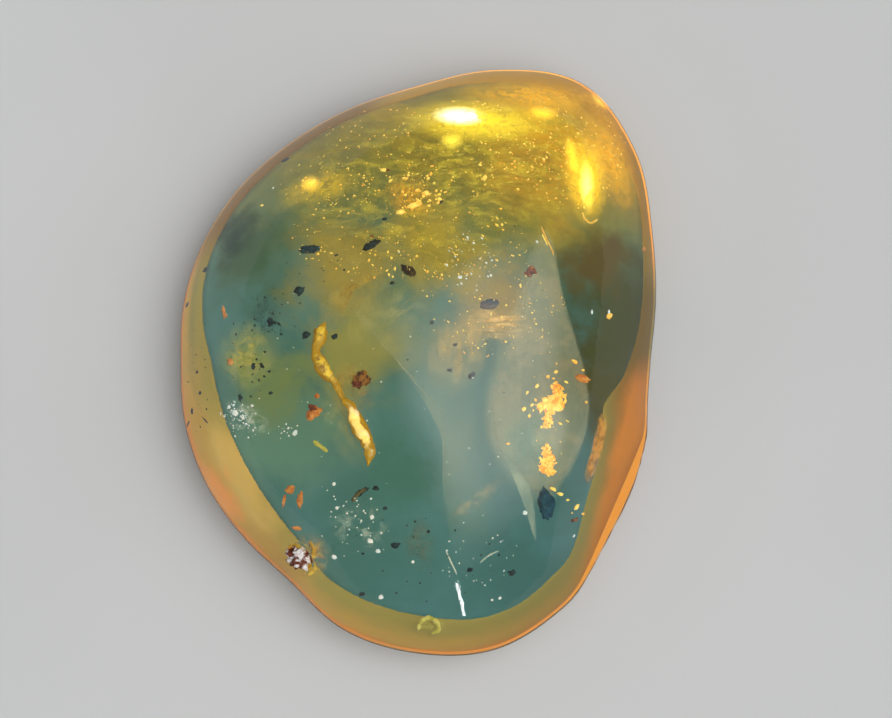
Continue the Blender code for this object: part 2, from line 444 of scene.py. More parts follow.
# A plain surface from nodes: colour, gloss, a little relief, and see-through where alpha says so
def surfaceMaterial(name, colour, roughness=0.5, metallic=0.0, bump=None, alpha=None, glow=None, coat=0.0):
    material, tree, output = newMaterial(name)
    place = placeInMillimetres(tree)
    inputs = {"Base Color": colour(tree, place), "Roughness": roughness, "Metallic": metallic, "IOR": 1.3}
    shader = put(tree, "ShaderNodeBsdfPrincipled", {**inputs, "Coat Weight": coat})
    if bump:
        relief = noiseAt(tree, place, bump["scale"], 4.0)
        made = put(tree, "ShaderNodeBump", {"Height": relief, "Distance": bump["depth"] * mm})
        feed(tree, shader.inputs["Normal"], made.outputs["Normal"])
    if alpha:
        feed(tree, shader.inputs["Alpha"], alpha(tree, place))
    if glow:
        shader.inputs["Emission Color"].default_value = (*glow["colour"], 1.0)
        shader.inputs["Emission Strength"].default_value = glow["strength"]
        if "mask" in glow:
            shine = times(tree, glow["mask"](tree, place), glow["strength"])
            feed(tree, shader.inputs["Emission Strength"], shine)
    tree.links.new(shader.outputs[0], output.inputs["Surface"])
    return material


def mottled(first, second, scale, low=0.4, high=0.6, stretch=None, turn=0.0):
    def colour(tree, place):
        spots = noiseAt(tree, place, scale, 3.0, 0.6, stretch, turn)
        return mixColours(tree, ramp(tree, spots, low, high), first, second)

    return colour


def finishPiece(obj, material, slot=None, nodes=()):
    obj.data.materials.clear()
    obj.data.materials.append(material)
    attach(obj, "root")
    if nodes:
        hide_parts(*nodes)
    return obj


# The cloud low in the body: blue-green haze over the ground flat, golden towards the pointed end, where the
# gold is partly the amber's own and partly painted light gathering there
cloud = {
    "lift": 0.12,
    "inset": 0.17,
    "rings": 30,
    "crown": 0.6,
    "teal": (0.085, 0.3, 0.48),
    "deepTeal": (0.06, 0.24, 0.33),
    "green": (0.17, 0.3, 0.2),
    "olive": (0.27, 0.29, 0.06),
    "gold": (0.5, 0.44, 0.03),
    "patches": (  # the pixel in the middle, how far it is full, how far it reaches, and its colour
        ((285, 435), 0.6, 3.2, (0.13, 0.36, 0.43)),
        ((410, 480), 0.4, 2.4, (0.055, 0.23, 0.29)),
        ((520, 575), 0.4, 2.8, (0.05, 0.21, 0.29)),
        ((628, 312), 1.0, 3.8, (0.058, 0.094, 0.026)),
        ((600, 380), 0.8, 3.4, (0.075, 0.098, 0.024)),
        ((608, 345), 0.4, 2.2, (0.062, 0.094, 0.026)),
        ((345, 350), 0.5, 3.0, (0.32, 0.4, 0.17)),
        ((288, 375), 0.3, 2.2, (0.21, 0.37, 0.21)),
        ((500, 305), 0.4, 2.4, (0.36, 0.34, 0.12)),
        ((255, 255), 0.5, 2.6, (0.06, 0.17, 0.15)),
        ((236, 232), 0.2, 1.5, (0.018, 0.08, 0.085)),
        ((350, 255), 0.4, 2.6, (0.4, 0.4, 0.12)),
        # partly painted light: bright gold patches in the pointed end
        ((570, 140), 0.6, 3.4, (0.9, 0.58, 0.01)),
        ((530, 185), 0.3, 2.6, (0.7, 0.52, 0.06)),
        ((430, 240), 0.4, 2.8, (0.5, 0.48, 0.1)),
        ((600, 262), 0.3, 1.8, (0.12, 0.11, 0.03)),
    ),
}


def cloudColour(tree, place):
    x, y, _ = partsOf(tree, place)
    wander = noiseAt(tree, place, 0.16, 4.0, 0.6)
    drift = sums(tree, "MULTIPLY_ADD", wander, 7.0, y)
    drift = sums(tree, "MULTIPLY_ADD", x, 0.12, drift)
    colour = mixColours(tree, ramp(tree, wander, 0.35, 0.65), cloud["deepTeal"], cloud["teal"])
    colour = mixColours(tree, ramp(tree, drift, 5.5, 10.0), colour, cloud["green"])
    colour = mixColours(tree, ramp(tree, drift, 8.0, 12.5), colour, cloud["olive"])
    # partly painted light: gold grain that rises towards the pointed end
    streak = noiseAt(tree, place, 0.6, 5.0, 0.65, stretch=(0.6, 1.4, 1.0), turn=-0.4, distortion=0.8)
    high = ramp(tree, drift, 8.5, 15.0)
    grain = ramp(tree, streak, 0.4, 0.66)
    colour = mixColours(tree, times(tree, high, grain), colour, cloud["gold"])
    edge = noiseAt(tree, place, 0.5, 4.0, 0.6)
    for pixel, full, reach, shade in cloud["patches"]:
        spot = throughAmber(*pixel, cloud["lift"])
        near = nearSpot(tree, place, (spot.x, spot.y), full, reach, wander=edge)
        colour = mixColours(tree, near, colour, shade)
    return colour


def makeCloud():
    edge = amberRings[0]
    middle = sum(edge, Vector((0, 0, 0))) / len(edge)
    rings = []
    for k in range(cloud["rings"]):
        share = 1 - k / cloud["rings"]
        ring = []
        for point in edge:
            way = point - middle
            spot = middle + way.normalized() * (way.length - cloud["inset"]) * share
            wave = 0.25 * noise.noise(spot * 0.35) * min(1.0, 3 * (1 - share))
            spot.z = cloud["lift"] + cloud["crown"] * (1 - share**4) + wave
            ring.append(spot)
        rings.append(ring)
    floor = [[Vector((p.x, p.y, cloud["lift"] - 0.06)) for p in rings[0]]]
    points, faces = loftRings(floor + rings)
    obj = meshObject("cloud_layer", points, faces)
    finishPiece(obj, surfaceMaterial("cloud_haze", cloudColour, roughness=0.8), "amber")


makeCloud()
print("Cloud laid over the ground flat")


# The honey rim: a hazy rind just inside the bevel, olive by the flat's edge and orange at the girdle. It is
# partly the amber's own honey colour and partly painted light for light passing through the edge; the darker
# brown at the upper left is painted shade
rim = {
    "under": 0.14,
    "domeRings": 5,
    "olive": (0.42, 0.42, 0.12),
    "honey": (0.64, 0.46, 0.1),
    "orange": (0.9, 0.34, 0.03),
    "straw": (0.8, 0.66, 0.24),
    "salmon": (0.98, 0.46, 0.14),
    "leftGreen": (0.26, 0.32, 0.13),
    "facet": (0.95, 0.38, 0.01),
    "facetOlive": (0.3, 0.22, 0.02),
    # painted shade: darker brown for the upper left of the rim
    "brown": (0.26, 0.15, 0.004),
    "gold": (0.6, 0.4, 0.01),
    "topGold": (0.95, 0.48, 0.0),
    "redGold": (0.66, 0.2, 0.0),
    # painted light: the top edge glows though it is no lamp
    "edgeGlow": {"colour": (1.0, 0.42, 0.0), "strength": 0.75},
}


def rimColour(tree, place):
    x, y, z = partsOf(tree, place)
    wander = noiseAt(tree, place, 0.45, 4.0)
    lift = sums(tree, "MULTIPLY_ADD", wander, 1.1, z)
    inner = ramp(tree, lift, 1.9, 1.0)
    outer = ramp(tree, lift, 2.2, 2.7)
    right = ramp(tree, x, 6.2, 8.0)
    low = times(tree, ramp(tree, y, 0.5, -1.5), ramp(tree, lift, 0.5, 1.3))
    facet = mixColours(tree, low, rim["facetOlive"], rim["facet"])
    topGold = mixColours(tree, outer, rim["gold"], rim["topGold"])
    redGold = mixColours(tree, outer, rim["gold"], rim["redGold"])
    colour = mixColours(tree, ramp(tree, lift, 0.8, 1.8), rim["olive"], rim["honey"])
    layers = (
        # painted light: orange towards the girdle, for light passing through the edge
        (ramp(tree, lift, 1.9, 2.9), rim["orange"]),
        (times(tree, ramp(tree, x, -8.5, -9.5), inner), rim["leftGreen"]),
        (times(tree, nearSpot(tree, place, (-7.6, -5.4), 1.4, 4.4, wander), inner), rim["straw"]),
        (nearSpot(tree, place, (-9.0, -6.0), 0.4, 2.2, wander), rim["salmon"]),
        (times(tree, right, ramp(tree, y, 5.5, 2.5)), facet),
        # painted shade: the upper left of the rim is darker brown
        (times(tree, ramp(tree, x, 0.5, -3.0), ramp(tree, y, 3.0, 6.0)), rim["brown"]),
        # partly painted light: bright orange at the top of the pointed end, where low light leaves it
        (times(tree, ramp(tree, y, 8.5, 11.0), ramp(tree, x, -2.5, 0.5)), topGold),
        (times(tree, right, ramp(tree, y, 3.5, 6.0)), redGold),
    )
    for share, shade in layers:
        colour = mixColours(tree, share, colour, shade)
    return colour


def topEdge(tree, place):  # where low light leaves the pointed end
    x, y, z = partsOf(tree, place)
    line = times(tree, ramp(tree, y, 2.0, 8.5), ramp(tree, z, 1.7, 2.15))
    wide = sums(tree, "MULTIPLY_ADD", ramp(tree, x, -4.0, 1.0), 0.5, 0.5)
    return times(tree, line, wide)


def makeRim():
    rows = amberRings[: body["bevelRings"] + rim["domeRings"]]
    core = Vector((0, 0, body["girdleHeight"]))
    rings = []
    for row in rows:
        ring = []
        for point in row:
            inward = (core - point).normalized()
            spot = point + inward * rim["under"]
            spot.z = max(spot.z, 0.08)
            ring.append(spot)
        rings.append(ring)
    inner = [[p + (core - p).normalized() * 0.06 for p in ring] for ring in reversed(rings)]
    loops = rings + inner
    points = [point for ring in loops for point in ring]
    steps = body["outlineSteps"]
    faces = []
    for row in range(len(loops)):
        faces += quadStrip(row * steps, (row + 1) % len(loops) * steps, steps)
    obj = meshObject("honey_rim_and_edge_light", points, faces)
    glow = {**rim["edgeGlow"], "mask": topEdge}
    finishPiece(obj, surfaceMaterial("honey_rind_and_edge_light", rimColour, roughness=0.6, glow=glow), "amber")


makeRim()
print("Rim lined")


# Lumps: rough grains from a ball, many of them joined in one mesh
def lump(at, size, lumps=0.3, turn=0.0, seed=0, detail=2, tilt=0.0, fold=1.7):
    verts, faces = balls[detail]
    spin = Vector((math.cos(turn), math.sin(turn)))
    points = []
    for way in verts:
        swell = 1 + lumps * noise.noise(way * fold + Vector((seed * 3.1, 0, 0)))
        swell += 0.35 * lumps * noise.noise(way * fold * 3.3 + Vector((0, seed * 2.3, 0)))
        x, y, z = (way[k] * size[k] / 2 * swell for k in range(3))
        z += x * tilt
        points.append(at + Vector((x * spin.x - y * spin.y, x * spin.y + y * spin.x, z)))
    return points, faces


def joinLumps(name, lumps, smooth=True):
    points, faces = [], []
    for morePoints, moreFaces in lumps:
        start = len(points)
        points += morePoints
        faces += [tuple(start + index for index in face) for face in moreFaces]
    return meshObject(name, points, faces, smooth)


# The sealed grains that have a solid each: each stands where its solid stands
grains = {
    "seed": {
        "size": (0.8, 0.42, 0.4), "colour": ((0.002, 0.018, 0.06), (0.006, 0.045, 0.11)),
        "lumps": 0.15, "turn": 20, "slot": "seed",
    },
    "bark_crumb": {
        "size": (0.75, 0.6, 0.5), "colour": ((0.08, 0.035, 0.01), (0.36, 0.18, 0.03)),
        "lumps": 0.55, "turn": 15, "slot": "crumb",
    },
    "wood_splinter": {
        "size": (0.7, 0.35, 0.3), "colour": ((0.75, 0.22, 0.04), (0.95, 0.5, 0.12)),
        "lumps": 0.35, "turn": -12, "slot": "splinter",
    },
    "leaf_scrap": {
        "size": (0.6, 1.3, 0.35), "colour": ((0.002, 0.05, 0.1), (0.01, 0.09, 0.16)),
        "lumps": 0.5, "turn": 14, "slot": "leaf",
    },
    "grain_north": {
        "size": (0.8, 0.34, 0.34), "colour": ((0.006, 0.014, 0.014), (0.02, 0.045, 0.05)),
        "lumps": 0.4, "turn": 32, "slot": "grain",
    },
    "grain_west": {
        "size": (0.75, 0.34, 0.34), "colour": ((0.006, 0.035, 0.06), (0.02, 0.075, 0.1)),
        "lumps": 0.35, "turn": 2, "slot": "grain",
    },
    "grain_middle": {
        "size": (0.62, 0.3, 0.3), "colour": ((0.02, 0.018, 0.008), (0.08, 0.06, 0.02)),
        "lumps": 0.5, "turn": -18, "slot": "grain",
    },
}
for number, (node, facts) in enumerate(grains.items()):
    turn = math.radians(facts["turn"])
    made = [lump(nodeMiddle(node), facts["size"], facts["lumps"], turn, number + 1, detail=4, fold=2.2)]
    relief = {"scale": 6.0, "depth": 0.05}
    material = surfaceMaterial(node + "_skin", mottled(*facts["colour"], 3.0), roughness=0.45, bump=relief)
    finishPiece(joinLumps(node + "_fine", made), material, facts["slot"], (node,))
print("Grains made:", len(grains))


# The bark strip: a curled golden ribbon, glassy and deep above the bend and pale below it
strip = {
    "route": (
        (-3.7, 1.1), (-3.9, 0.5), (-4.1, -0.2), (-3.8, -1.0), (-3.3, -1.6), (-2.9, -2.3),
        (-2.5, -2.8), (-2.3, -3.4), (-2.0, -3.9), (-1.9, -4.4), (-2.0, -5.1),
    ),
    "widths": (0.35, 0.66, 0.32, 0.7, 0.34, 0.2, 0.55, 0.7, 0.6, 0.44, 0.24),
    "height": 4.0,
    "flatness": 0.6,
    "steps": 110,
    "sides": 20,
    "ragged": 0.5,
    "gold": (0.98, 0.76, 0.04),
    "amberBrown": (0.34, 0.19, 0.008),
    # painted shade: a darker colour for the strip's lower flanks
    "flank": (0.56, 0.36, 0.0),
    "pale": (1.0, 0.8, 0.14),
    "cream": (1.0, 0.92, 0.72),
    "glow": {"colour": (1.0, 0.82, 0.34), "strength": 0.46},
}


def readAlong(values, share):
    last = len(values) - 1
    here = min(int(share * last), last - 1)
    return values[here] + (values[here + 1] - values[here]) * (share * last - here)


def stripColour(tree, place):
    _, y, z = partsOf(tree, place)
    flow = noiseAt(tree, place, 1.8, 5.0, 0.6)
    upper = mixColours(tree, ramp(tree, flow, 0.4, 0.54), strip["amberBrown"], strip["gold"])
    lower = mixColours(tree, ramp(tree, flow, 0.4, 0.6), strip["pale"], strip["cream"])
    ridge = mixColours(tree, ramp(tree, y, -2.3, -2.7), upper, lower)
    # painted shade: the lower flanks go darker by height
    flank = ramp(tree, sums(tree, "MULTIPLY_ADD", flow, 0.16, z), 4.235, 4.165)
    return mixColours(tree, flank, ridge, strip["flank"])


def stripGlow(tree, place):  # the pale ridge of the lower part catches the light
    _, y, z = partsOf(tree, place)
    below = sums(tree, "MULTIPLY_ADD", ramp(tree, y, -2.2, -2.8), 0.85, 0.15)
    return times(tree, ramp(tree, z, 4.09, 4.17), below)


def makeStrip():
    rings = []
    for k in range(strip["steps"] + 1):
        share = k / strip["steps"]
        centre, way = alongRoute(strip["route"], share, 0.01)
        way.normalize()
        across = Vector((-way.y, way.x))
        taper = max(0.02, math.sin(math.pi * min(0.5, share * 6, (1 - share) * 6 + 0.001)))
        width = readAlong(strip["widths"], share) * taper
        ring = []
        for side in range(strip["sides"]):
            angle = math.tau * side / strip["sides"]
            rough = noise.noise(Vector((math.cos(angle) * 0.7, math.sin(angle) * 0.7, share * 11)))
            rough += 0.5 * noise.noise(Vector((math.cos(angle) * 2, math.sin(angle) * 2, share * 34)))
            swell = width / 2 * (1 + strip["ragged"] * rough)
            flank = math.cos(angle) * swell
            rise = math.sin(angle) * swell * strip["flatness"]
            spot = centre + across * flank
            ring.append(Vector((spot.x, spot.y, strip["height"] + rise)))
        rings.append(ring)
    points, faces = loftRings(rings)
    material = surfaceMaterial(
        "bark_gold", stripColour, roughness=0.28, metallic=0.25, coat=0.5,
        bump={"scale": 4.0, "depth": 0.16}, glow={**strip["glow"], "mask": stripGlow},
    )
    finishPiece(meshObject("bark_strip_fine", points, faces), material, "bark", ("bark_strip",))


makeStrip()
print("Bark strip made")


# Gold resin flakes: thin angular chips, crowded where each cluster's lobes are. Their glow is painted light,
# standing in for the light they catch
flakes = {
    "perLobe": 44,
    "lobes": {  # across, along, and reach of each lobe, as shares of the cluster's half size
        "flake_upper": (
            (0.25, 0.62, 0.3), (0.3, 0.28, 0.34), (0.05, 0.02, 0.36), (-0.3, 0.02, 0.26),
            (-0.05, -0.34, 0.28), (-0.18, -0.66, 0.26), (0.45, -0.05, 0.22), (-0.62, -0.1, 0.14),
        ),
        "flake_lower": (
            (-0.05, 0.55, 0.3), (-0.15, 0.15, 0.42), (0.25, 0.05, 0.3), (-0.3, -0.25, 0.34),
            (0.15, -0.5, 0.3),
        ),
    },
    "length": (0.06, 0.22),
    "thickness": 0.045,
    "gold": (1.0, 0.82, 0.26),
    "amberGold": (0.95, 0.32, 0.02),
    # painted light: the chips glow though they are no lamp
    "glow": {"colour": (1.0, 0.56, 0.07), "strength": 0.34},
}


def flakeMaterial(name, glow):
    colour = mottled(flakes["amberGold"], flakes["gold"], 2.6, 0.38, 0.52)
    relief = {"scale": 4.0, "depth": 0.05}
    return surfaceMaterial(name, colour, roughness=0.3, metallic=0.4, glow=glow, bump=relief)


def makeFlakes():
    draw = random.Random(11)
    for node, lobes in flakes["lobes"].items():
        low, high = (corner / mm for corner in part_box(node))
        middle, half = (low + high) / 2, (high - low) / 2
        made = []
        for across, along, reach in lobes:
            for number in range(flakes["perLobe"]):
                angle, out = draw.uniform(0, math.tau), draw.random() ** 0.7 * reach
                x = max(-0.9, min(0.9, across + math.cos(angle) * out))
                y = max(-0.9, min(0.9, along + math.sin(angle) * out))
                at = middle + Vector((x * half.x, y * half.y, draw.uniform(-0.8, 0.8) * half.z))
                long = draw.uniform(*flakes["length"])
                size = (long, long * draw.uniform(0.4, 0.9), flakes["thickness"])
                turn, tilt = draw.uniform(0, math.pi), draw.uniform(-0.7, 0.7)
                made.append(lump(at, size, 1.0, turn, number, detail=1, tilt=tilt, fold=2.6))
        chips = joinLumps(node + "_chips", made, smooth=False)
        chips.visible_shadow = False  # the light of their painted glow fills what they would shade
        finishPiece(chips, flakeMaterial(node + "_gold", flakes["glow"]), "gold", (node,))


makeFlakes()
print("Gold flakes made")


# The pit's crust: a rough brown and white crumb in the open pit
def makeCrust():
    middle = nodeMiddle("pit_crust")
    made = [lump(middle, (0.95, 0.95, 0.8), 0.8, 0.4, 5, detail=4, fold=2.4)]
    colour = mottled((0.16, 0.035, 0.015), (0.95, 0.88, 0.85), 2.6, 0.47, 0.56)
    relief = {"scale": 7.0, "depth": 0.08}
    material = surfaceMaterial("pit_crust_skin", colour, roughness=0.4, bump=relief)
    finishPiece(joinLumps("pit_crust_fine", made), material, "crust", ("pit_crust",))


makeCrust()


# Scattered matter, each spot at a pixel of the photograph and a height in the body
def scatter(name, spots, material, lumps, detail, seed):
    draw = random.Random(seed)
    made = []
    for number, (px, py, long, wide, turn, height) in enumerate(spots):
        at = throughAmber(px, py, height)
        if at is None:
            continue
        size = (long, wide, min(long, wide) * draw.uniform(0.6, 0.9))
        made.append(lump(at, size, lumps, math.radians(turn), number + seed, detail=detail))
    return finishPiece(joinLumps(name, made), material)


def sprinkle(draw, count, middle, spread, sizes, heights, flat=0.7):
    spots = []
    for _ in range(count):
        angle, reach = draw.uniform(0, math.tau), math.sqrt(draw.random())
        px = middle[0] + math.cos(angle) * reach * spread[0]
        py = middle[1] + math.sin(angle) * reach * spread[1]
        long = sizes[0] + (sizes[1] - sizes[0]) * draw.random() ** 2
        wide, turn = long * draw.uniform(flat, 1.0), draw.uniform(0, 180)
        spots.append((px, py, long, wide, turn, draw.uniform(*heights)))
    return spots


# A spot is pixel x, pixel y, length, width, turn and height. A sprinkle is a count, the pixel in its
# middle, its spread in pixels, the least and most of length and of height, and how narrow a bit may be.
matter = {
    "dark_specks": {
        "seed": 3, "lumps": 0.8, "detail": 2,
        "material": surfaceMaterial(
            "dark_speck", mottled((0.004, 0.02, 0.034), (0.02, 0.06, 0.08), 5.0), roughness=0.6
        ),
        "spots": (
            (306, 335, 0.36, 0.3, 0, 4.4), (300, 291, 0.42, 0.3, 20, 4.2), (335, 337, 0.26, 0.22, 0, 4.6),
            (472, 375, 0.3, 0.22, 60, 4.0), (450, 370, 0.2, 0.16, 0, 3.8), (285, 160, 0.42, 0.26, 10, 4.0),
            (205, 270, 0.26, 0.22, 0, 2.9), (187, 305, 0.34, 0.2, 10, 2.7), (392, 283, 0.22, 0.14, 0, 4.2),
            (440, 202, 0.26, 0.2, 30, 4.5), (385, 219, 0.24, 0.14, -30, 4.4), (362, 492, 0.5, 0.22, 40, 3.6),
            (376, 488, 0.24, 0.18, 0, 3.6), (385, 508, 0.22, 0.14, 0, 3.5), (455, 345, 0.16, 0.12, 0, 4.2),
            (432, 322, 0.18, 0.14, 0, 4.0), (395, 545, 0.34, 0.26, 0, 3.2), (512, 573, 0.34, 0.24, 0, 3.4),
            (470, 570, 0.22, 0.18, 0, 3.2), (362, 594, 0.26, 0.2, 0, 2.4), (188, 424, 0.5, 0.1, 40, 2.9),
            (205, 420, 0.5, 0.08, -35, 2.9), (197, 372, 0.2, 0.14, 0, 2.9), (200, 393, 0.22, 0.16, 0, 3.0),
            (192, 411, 0.3, 0.2, 60, 2.8), (240, 398, 0.2, 0.34, 10, 3.4), (270, 322, 0.34, 0.22, 70, 3.6),
            (253, 366, 0.2, 0.26, 0, 3.8), (262, 366, 0.16, 0.2, 0, 3.7),
        ),
        "sprinkles": (
            (40, (258, 350), (30, 55), (0.04, 0.12), (3.0, 4.4)),
            (14, (272, 318), (14, 26), (0.05, 0.14), (3.2, 4.4)),
            (26, (198, 375), (12, 70), (0.04, 0.11), (2.4, 3.2)),
            (24, (320, 300), (50, 50), (0.04, 0.1), (3.4, 5.0)),
            (36, (420, 560), (90, 45), (0.04, 0.11), (2.6, 4.0)),
            (30, (460, 300), (130, 110), (0.03, 0.08), (3.4, 5.6)),
        ),
    },
    "rust_specks": {
        "seed": 5, "lumps": 0.8, "detail": 3,
        "material": surfaceMaterial(
            "rust_speck", mottled((0.1, 0.02, 0.01), (0.32, 0.1, 0.03), 4.0), roughness=0.6
        ),
        "spots": (
            (531, 272, 0.42, 0.34, 20, 4.4), (357, 384, 0.34, 0.26, 0, 4.6), (575, 520, 0.4, 0.16, 8, 4.0),
            (312, 408, 0.3, 0.26, 0, 3.4), (372, 236, 0.12, 0.1, 0, 5.0), (388, 170, 0.16, 0.12, 0, 5.0),
        ),
    },
    "orange_flecks": {
        "seed": 7, "lumps": 0.7, "detail": 3,
        "material": surfaceMaterial(
            "orange_fleck", mottled((0.62, 0.22, 0.04), (0.85, 0.42, 0.13), 3.0), roughness=0.4
        ),
        "spots": (
            (224, 313, 0.5, 0.22, -60, 3.4), (290, 490, 0.42, 0.3, 50, 3.2), (300, 500, 0.6, 0.24, 80, 3.2),
            (284, 500, 0.55, 0.14, 70, 3.2), (313, 413, 0.7, 0.46, 40, 3.2), (317, 396, 0.2, 0.2, 0, 3.6),
            (644, 249, 0.3, 0.16, 10, 3.4), (230, 362, 0.26, 0.24, 0, 3.4), (297, 528, 0.4, 0.2, 0, 3.0),
        ),
    },
    "gas_bubbles": {
        "seed": 9, "lumps": 0.45, "detail": 2,
        # painted highlight: the bubbles' pale blue-white colour and glow stand in for their glints
        "material": surfaceMaterial(
            "gas_bubble", mottled((0.66, 0.84, 1.0), (0.9, 0.96, 1.0), 4.0), roughness=0.15, coat=0.8,
            glow={"colour": (0.62, 0.82, 1.0), "strength": 0.25},
        ),
        "spots": (
            (235, 413, 0.3, 0.26, 0, 4.2), (229, 407, 0.18, 0.16, 0, 4.2), (243, 418, 0.18, 0.16, 0, 4.2),
            (295, 433, 0.2, 0.2, 0, 4.0), (372, 517, 0.18, 0.18, 0, 4.0), (370, 541, 0.22, 0.22, 0, 3.8),
            (378, 551, 0.2, 0.2, 0, 3.8), (334, 557, 0.24, 0.24, 0, 3.6), (381, 597, 0.26, 0.2, 30, 3.0),
            (334, 484, 0.16, 0.16, 0, 4.0), (337, 508, 0.16, 0.16, 0, 4.0), (413, 562, 0.14, 0.14, 0, 3.6),
            (525, 513, 0.2, 0.18, 0, 4.2), (500, 598, 0.14, 0.14, 0, 3.0), (492, 600, 0.12, 0.12, 0, 3.0),
            (460, 277, 0.2, 0.16, 0, 5.0), (537, 242, 0.12, 0.12, 0, 5.0), (273, 188, 0.12, 0.12, 0, 5.0),
            (609, 312, 0.14, 0.2, 0, 4.6), (592, 312, 0.12, 0.22, 0, 4.6), (574, 536, 0.16, 0.14, 0, 3.8),
        ),
        "sprinkles": (
            (60, (238, 413), (18, 13), (0.04, 0.14), (3.8, 4.6), 0.4),
            (36, (262, 430), (36, 10), (0.03, 0.1), (3.8, 4.4), 0.4),
            (44, (468, 262), (26, 34), (0.04, 0.12), (4.6, 5.6)),
            (40, (355, 530), (34, 36), (0.04, 0.1), (3.4, 4.2)),
            (30, (480, 560), (44, 30), (0.04, 0.09), (3.2, 4.2)),
            (60, (400, 380), (150, 170), (0.03, 0.07), (3.4, 5.4)),
        ),
    },
    "gold_spangle": {  # fine crumbs and chips of resin in the pointed third that catch the light; their glow is painted light
        "seed": 21, "lumps": 0.9, "detail": 1,
        "material": flakeMaterial("spangle_gold", {"colour": (1.0, 0.74, 0.12), "strength": 0.55}),
        "spots": (
            (383, 170, 0.3, 0.2, 0, 5.0), (390, 181, 0.24, 0.16, 40, 5.0), (404, 178, 0.2, 0.12, 0, 5.0),
            (418, 190, 0.3, 0.18, 10, 5.0), (426, 193, 0.36, 0.24, 0, 5.0), (431, 174, 0.26, 0.14, 80, 5.0),
            (415, 205, 0.9, 0.3, 20, 4.8), (400, 212, 0.4, 0.26, 0, 4.8), (432, 166, 0.18, 0.12, 0, 5.0),
            (485, 178, 0.36, 0.2, 60, 5.0), (480, 165, 0.2, 0.14, 0, 5.0), (312, 183, 0.55, 0.5, 0, 4.6),
            (610, 316, 0.46, 0.36, 0, 4.6), (262, 205, 0.2, 0.14, 0, 4.6), (545, 240, 0.6, 0.07, -65, 5.0),
            (524, 409, 0.24, 0.16, 10, 4.2), (532, 405, 0.18, 0.12, 40, 4.2), (537, 386, 0.22, 0.15, 70, 4.2),
            (575, 362, 0.3, 0.18, -40, 4.2), (583, 370, 0.16, 0.12, 0, 4.2), (586, 402, 0.16, 0.13, 0, 3.6),
            (508, 444, 0.16, 0.1, 20, 4.0), (540, 458, 0.14, 0.12, 0, 4.0), (556, 372, 0.18, 0.12, 30, 4.2),
            (553, 489, 0.3, 0.17, -35, 3.6), (560, 494, 0.22, 0.15, -20, 3.6), (568, 500, 0.15, 0.11, 0, 3.6),
            (577, 507, 0.34, 0.26, 20, 3.5), (583, 514, 0.2, 0.13, 0, 3.5), (572, 513, 0.12, 0.09, 0, 3.5),
        ),
        "sprinkles": (
            (60, (415, 195), (28, 22), (0.06, 0.2), (4.2, 5.4), 0.5),
            (420, (450, 150), (140, 50), (0.03, 0.13), (3.6, 6.0), 0.3),
            (320, (410, 235), (125, 45), (0.03, 0.12), (3.6, 6.0), 0.3),
            (320, (575, 150), (52, 62), (0.03, 0.12), (3.0, 5.4), 0.3),
            (110, (490, 305), (75, 56), (0.03, 0.09), (3.6, 5.6), 0.3),
            (110, (330, 185), (50, 26), (0.03, 0.12), (3.4, 5.4), 0.3),
            (60, (500, 325), (46, 34), (0.03, 0.12), (3.4, 5.0), 0.25),
            (34, (548, 405), (22, 62), (0.04, 0.2), (3.6, 4.4), 0.25),
        ),
    },
}
for name, facts in matter.items():
    draw = random.Random(facts["seed"])
    spots = list(facts["spots"])
    for sprinkled in facts.get("sprinkles", ()):
        spots += sprinkle(draw, *sprinkled)
    scatter(name, spots, facts["material"], facts["lumps"], facts["detail"], facts["seed"])
print("Specks, bubbles and spangle scattered")


# Veils: thin sheets of haze. An outline point is a pixel and how softly the haze ends there.
def oval(middle, reach, softness=0.9, turn=0.0, count=10):
    points = []
    for k in range(count):
        angle = math.tau * k / count
        x, y = math.cos(angle) * reach[0], math.sin(angle) * reach[1]
        spin = math.radians(turn)
        spot = (x * math.cos(spin) - y * math.sin(spin), x * math.sin(spin) + y * math.cos(spin))
        points.append((middle[0] + spot[0], middle[1] + spot[1], softness))
    return points


veilDefaults = {
    "height": None, "depth": 0.0, "wave": 0.1, "rings": 26, "steps": 96,
    "scale": 0.4, "stretch": None, "turn": 0.0, "swirl": 0.6,
    "thin": 0.3, "dense": 0.7, "least": 0.1, "strength": 0.5, "glow": None,
}


